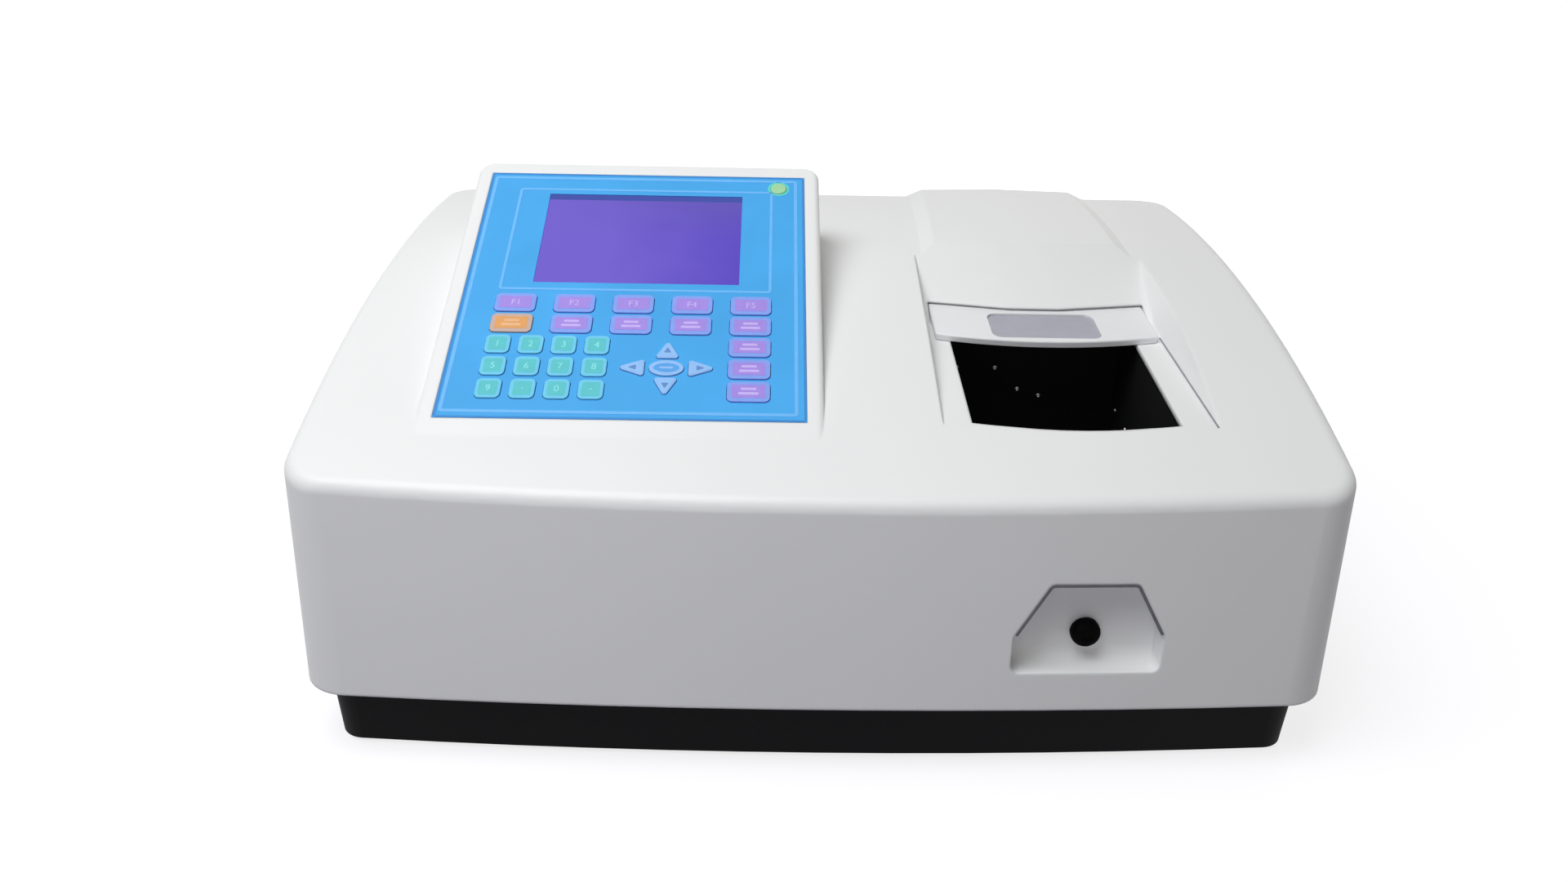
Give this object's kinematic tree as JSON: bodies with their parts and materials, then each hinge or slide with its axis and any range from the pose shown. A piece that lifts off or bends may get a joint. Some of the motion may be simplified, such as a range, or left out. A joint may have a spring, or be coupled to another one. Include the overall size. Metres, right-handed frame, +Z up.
{
  "type": "uv-visible spectrophotometer",
  "caption": "Benchtop spectrophotometer with a sloping keypad and display, a sliding sample-chamber lid and a pull-rod cell changer.",
  "frame": {"origin": "on the bench surface under the middle of the case, at the undersides of the feet", "axes": "+X to the right seen from the front, +Y from the front to the back, +Z up"},
  "size_m": [0.565, 0.3949, 0.2835],
  "materials": {
    "cover_plastic": "white moulded ABS, fine satin",
    "lid_plastic": "white moulded ABS, satin",
    "tray_plastic": "black moulded plastic",
    "foot_rubber": "black rubber",
    "screw_steel": "zinc-plated steel",
    "panel_paint": "grey powder-coated steel sheet",
    "fan_plastic": "black glass-filled plastic",
    "inlet_plastic": "black plastic",
    "rocker_plastic": "black gloss plastic",
    "board_laminate": "green laminate",
    "tub_paint": "matt black light-trap paint",
    "carriage_anodised": "black anodised aluminium",
    "rod_steel": "ground stainless steel",
    "knob_plastic": "black plastic",
    "film_print": "printed polyester film, satin",
    "display_glass": "violet-blue liquid crystal display",
    "lamp_lens": "pale green translucent lens",
    "key_green": "green printed key",
    "key_orange": "orange printed key",
    "key_blue": "pale blue printed key",
    "key_purple": "violet printed key",
    "bench_casting": "cast aluminium, machined top",
    "optics_paint": "black painted aluminium",
    "turntable_aluminium": "machined aluminium",
    "mirror_glass": "aluminised glass on aluminium feet",
    "lamp_house_steel": "vented steel sheet",
    "lamp_quartz": "quartz bulbs on ceramic bases",
    "supply_steel": "galvanised steel can"
  },
  "bodies": {
    "case": {"top_cover": "cover_plastic", "base_tray": "tray_plastic", "rubber_feet": "foot_rubber", "case_screws": "screw_steel", "rear_panel": "panel_paint", "fan_frame": "fan_plastic", "power_inlet": "inlet_plastic", "main_board": "board_laminate", "sample_tub": "tub_paint", "reference_holder": "carriage_anodised", "keypad_overlay": "film_print", "lcd_module": "display_glass", "keypad_board": "board_laminate", "status_led": "lamp_lens", "optical_bench": "bench_casting", "monochromator_case": "optics_paint", "fixed_mirrors": "mirror_glass", "lamp_house": "lamp_house_steel", "lamps": "lamp_quartz", "detectors": "optics_paint", "power_supply": "supply_steel"},
    "sliding_lid": {"sample_lid": "lid_plastic"},
    "cell_changer": {"cell_carriage": "carriage_anodised", "pull_rod": "rod_steel", "pull_knob": "knob_plastic"},
    "rocker": {"power_rocker": "rocker_plastic"},
    "rotor": {"fan_rotor": "fan_plastic"},
    "turntable": {"grating_turntable": "turntable_aluminium"},
    "wheel": {"filter_wheel": "turntable_aluminium"},
    "flip_mirror": {"lamp_mirror": "mirror_glass"},
    "function_key_1_pad": {"function_key_1": "key_purple"},
    "function_key_2_pad": {"function_key_2": "key_purple"},
    "function_key_3_pad": {"function_key_3": "key_purple"},
    "function_key_4_pad": {"function_key_4": "key_purple"},
    "function_key_5_pad": {"function_key_5": "key_purple"},
    "shift_key_pad": {"shift_key": "key_orange"},
    "command_key_1_pad": {"command_key_1": "key_purple"},
    "command_key_2_pad": {"command_key_2": "key_purple"},
    "command_key_3_pad": {"command_key_3": "key_purple"},
    "command_key_4_pad": {"command_key_4": "key_purple"},
    "menu_key_1_pad": {"menu_key_1": "key_purple"},
    "menu_key_2_pad": {"menu_key_2": "key_purple"},
    "menu_key_3_pad": {"menu_key_3": "key_purple"},
    "number_key_1_pad": {"number_key_1": "key_green"},
    "number_key_2_pad": {"number_key_2": "key_green"},
    "number_key_3_pad": {"number_key_3": "key_green"},
    "number_key_4_pad": {"number_key_4": "key_green"},
    "number_key_5_pad": {"number_key_5": "key_green"},
    "number_key_6_pad": {"number_key_6": "key_green"},
    "number_key_7_pad": {"number_key_7": "key_green"},
    "number_key_8_pad": {"number_key_8": "key_green"},
    "number_key_9_pad": {"number_key_9": "key_green"},
    "number_key_10_pad": {"number_key_10": "key_green"},
    "number_key_11_pad": {"number_key_11": "key_green"},
    "number_key_12_pad": {"number_key_12": "key_green"},
    "arrow_key_up_pad": {"arrow_key_up": "key_blue"},
    "arrow_key_down_pad": {"arrow_key_down": "key_blue"},
    "arrow_key_left_pad": {"arrow_key_left": "key_blue"},
    "arrow_key_right_pad": {"arrow_key_right": "key_blue"},
    "enter_key_pad": {"enter_key": "key_blue"}
  },
  "joints": [
    {"name": "lid_slide", "type": "slide", "parent": "case", "child": "sliding_lid", "axis": [0, -0.9874, -0.158], "range_m": [0, 0.093]},
    {"name": "cell_changer_slide", "type": "slide", "parent": "case", "child": "cell_changer", "axis": [0, -1, 0], "range_m": [0, 0.045]},
    {"name": "power_rocker_hinge", "type": "hinge", "parent": "case", "child": "rocker", "pos_m": [-0.0425, 0.1855, 0.1], "axis": [1, 0, 0], "range_deg": [0, 18]},
    {"name": "fan_spin", "type": "hinge", "parent": "case", "child": "rotor", "pos_m": [0.15, 0.17, 0.1], "axis": [0, 1, 0], "continuous": true},
    {"name": "grating_turn", "type": "hinge", "parent": "case", "child": "turntable", "pos_m": [-0.095, 0.07, 0.07], "axis": [0, 0, 1], "range_deg": [-5, 45]},
    {"name": "filter_turn", "type": "hinge", "parent": "case", "child": "wheel", "pos_m": [0.052, 0.06, 0.112], "axis": [1, 0, 0], "continuous": true},
    {"name": "lamp_mirror_flip", "type": "hinge", "parent": "case", "child": "flip_mirror", "pos_m": [0.102, 0.06, 0.07], "axis": [0, 0, 1], "range_deg": [-40, 40]},
    {"name": "function_key_1_press", "type": "slide", "parent": "case", "child": "function_key_1_pad", "axis": [0, 0.4664, -0.8846], "range_m": [0, 0.0005], "stiffness_N_per_m": 600, "springref_m": -0.0003},
    {"name": "function_key_2_press", "type": "slide", "parent": "case", "child": "function_key_2_pad", "axis": [0, 0.4664, -0.8846], "range_m": [0, 0.0005], "stiffness_N_per_m": 600, "springref_m": -0.0003},
    {"name": "function_key_3_press", "type": "slide", "parent": "case", "child": "function_key_3_pad", "axis": [0, 0.4664, -0.8846], "range_m": [0, 0.0005], "stiffness_N_per_m": 600, "springref_m": -0.0003},
    {"name": "function_key_4_press", "type": "slide", "parent": "case", "child": "function_key_4_pad", "axis": [0, 0.4664, -0.8846], "range_m": [0, 0.0005], "stiffness_N_per_m": 600, "springref_m": -0.0003},
    {"name": "function_key_5_press", "type": "slide", "parent": "case", "child": "function_key_5_pad", "axis": [0, 0.4664, -0.8846], "range_m": [0, 0.0005], "stiffness_N_per_m": 600, "springref_m": -0.0003},
    {"name": "shift_key_press", "type": "slide", "parent": "case", "child": "shift_key_pad", "axis": [0, 0.4664, -0.8846], "range_m": [0, 0.0005], "stiffness_N_per_m": 600, "springref_m": -0.0003},
    {"name": "command_key_1_press", "type": "slide", "parent": "case", "child": "command_key_1_pad", "axis": [0, 0.4664, -0.8846], "range_m": [0, 0.0005], "stiffness_N_per_m": 600, "springref_m": -0.0003},
    {"name": "command_key_2_press", "type": "slide", "parent": "case", "child": "command_key_2_pad", "axis": [0, 0.4664, -0.8846], "range_m": [0, 0.0005], "stiffness_N_per_m": 600, "springref_m": -0.0003},
    {"name": "command_key_3_press", "type": "slide", "parent": "case", "child": "command_key_3_pad", "axis": [0, 0.4664, -0.8846], "range_m": [0, 0.0005], "stiffness_N_per_m": 600, "springref_m": -0.0003},
    {"name": "command_key_4_press", "type": "slide", "parent": "case", "child": "command_key_4_pad", "axis": [0, 0.4664, -0.8846], "range_m": [0, 0.0005], "stiffness_N_per_m": 600, "springref_m": -0.0003},
    {"name": "menu_key_1_press", "type": "slide", "parent": "case", "child": "menu_key_1_pad", "axis": [0, 0.4664, -0.8846], "range_m": [0, 0.0005], "stiffness_N_per_m": 600, "springref_m": -0.0003},
    {"name": "menu_key_2_press", "type": "slide", "parent": "case", "child": "menu_key_2_pad", "axis": [0, 0.4664, -0.8846], "range_m": [0, 0.0005], "stiffness_N_per_m": 600, "springref_m": -0.0003},
    {"name": "menu_key_3_press", "type": "slide", "parent": "case", "child": "menu_key_3_pad", "axis": [0, 0.4664, -0.8846], "range_m": [0, 0.0005], "stiffness_N_per_m": 600, "springref_m": -0.0003},
    {"name": "number_key_1_press", "type": "slide", "parent": "case", "child": "number_key_1_pad", "axis": [0, 0.4664, -0.8846], "range_m": [0, 0.0005], "stiffness_N_per_m": 600, "springref_m": -0.0003},
    {"name": "number_key_2_press", "type": "slide", "parent": "case", "child": "number_key_2_pad", "axis": [0, 0.4664, -0.8846], "range_m": [0, 0.0005], "stiffness_N_per_m": 600, "springref_m": -0.0003},
    {"name": "number_key_3_press", "type": "slide", "parent": "case", "child": "number_key_3_pad", "axis": [0, 0.4664, -0.8846], "range_m": [0, 0.0005], "stiffness_N_per_m": 600, "springref_m": -0.0003},
    {"name": "number_key_4_press", "type": "slide", "parent": "case", "child": "number_key_4_pad", "axis": [0, 0.4664, -0.8846], "range_m": [0, 0.0005], "stiffness_N_per_m": 600, "springref_m": -0.0003},
    {"name": "number_key_5_press", "type": "slide", "parent": "case", "child": "number_key_5_pad", "axis": [0, 0.4664, -0.8846], "range_m": [0, 0.0005], "stiffness_N_per_m": 600, "springref_m": -0.0003},
    {"name": "number_key_6_press", "type": "slide", "parent": "case", "child": "number_key_6_pad", "axis": [0, 0.4664, -0.8846], "range_m": [0, 0.0005], "stiffness_N_per_m": 600, "springref_m": -0.0003},
    {"name": "number_key_7_press", "type": "slide", "parent": "case", "child": "number_key_7_pad", "axis": [0, 0.4664, -0.8846], "range_m": [0, 0.0005], "stiffness_N_per_m": 600, "springref_m": -0.0003},
    {"name": "number_key_8_press", "type": "slide", "parent": "case", "child": "number_key_8_pad", "axis": [0, 0.4664, -0.8846], "range_m": [0, 0.0005], "stiffness_N_per_m": 600, "springref_m": -0.0003},
    {"name": "number_key_9_press", "type": "slide", "parent": "case", "child": "number_key_9_pad", "axis": [0, 0.4664, -0.8846], "range_m": [0, 0.0005], "stiffness_N_per_m": 600, "springref_m": -0.0003},
    {"name": "number_key_10_press", "type": "slide", "parent": "case", "child": "number_key_10_pad", "axis": [0, 0.4664, -0.8846], "range_m": [0, 0.0005], "stiffness_N_per_m": 600, "springref_m": -0.0003},
    {"name": "number_key_11_press", "type": "slide", "parent": "case", "child": "number_key_11_pad", "axis": [0, 0.4664, -0.8846], "range_m": [0, 0.0005], "stiffness_N_per_m": 600, "springref_m": -0.0003},
    {"name": "number_key_12_press", "type": "slide", "parent": "case", "child": "number_key_12_pad", "axis": [0, 0.4664, -0.8846], "range_m": [0, 0.0005], "stiffness_N_per_m": 600, "springref_m": -0.0003},
    {"name": "arrow_key_up_press", "type": "slide", "parent": "case", "child": "arrow_key_up_pad", "axis": [0, 0.4664, -0.8846], "range_m": [0, 0.0005], "stiffness_N_per_m": 600, "springref_m": -0.0003},
    {"name": "arrow_key_down_press", "type": "slide", "parent": "case", "child": "arrow_key_down_pad", "axis": [0, 0.4664, -0.8846], "range_m": [0, 0.0005], "stiffness_N_per_m": 600, "springref_m": -0.0003},
    {"name": "arrow_key_left_press", "type": "slide", "parent": "case", "child": "arrow_key_left_pad", "axis": [0, 0.4664, -0.8846], "range_m": [0, 0.0005], "stiffness_N_per_m": 600, "springref_m": -0.0003},
    {"name": "arrow_key_right_press", "type": "slide", "parent": "case", "child": "arrow_key_right_pad", "axis": [0, 0.4664, -0.8846], "range_m": [0, 0.0005], "stiffness_N_per_m": 600, "springref_m": -0.0003},
    {"name": "enter_key_press", "type": "slide", "parent": "case", "child": "enter_key_pad", "axis": [0, 0.4664, -0.8846], "range_m": [0, 0.0005], "stiffness_N_per_m": 600, "springref_m": -0.0003}
  ]
}
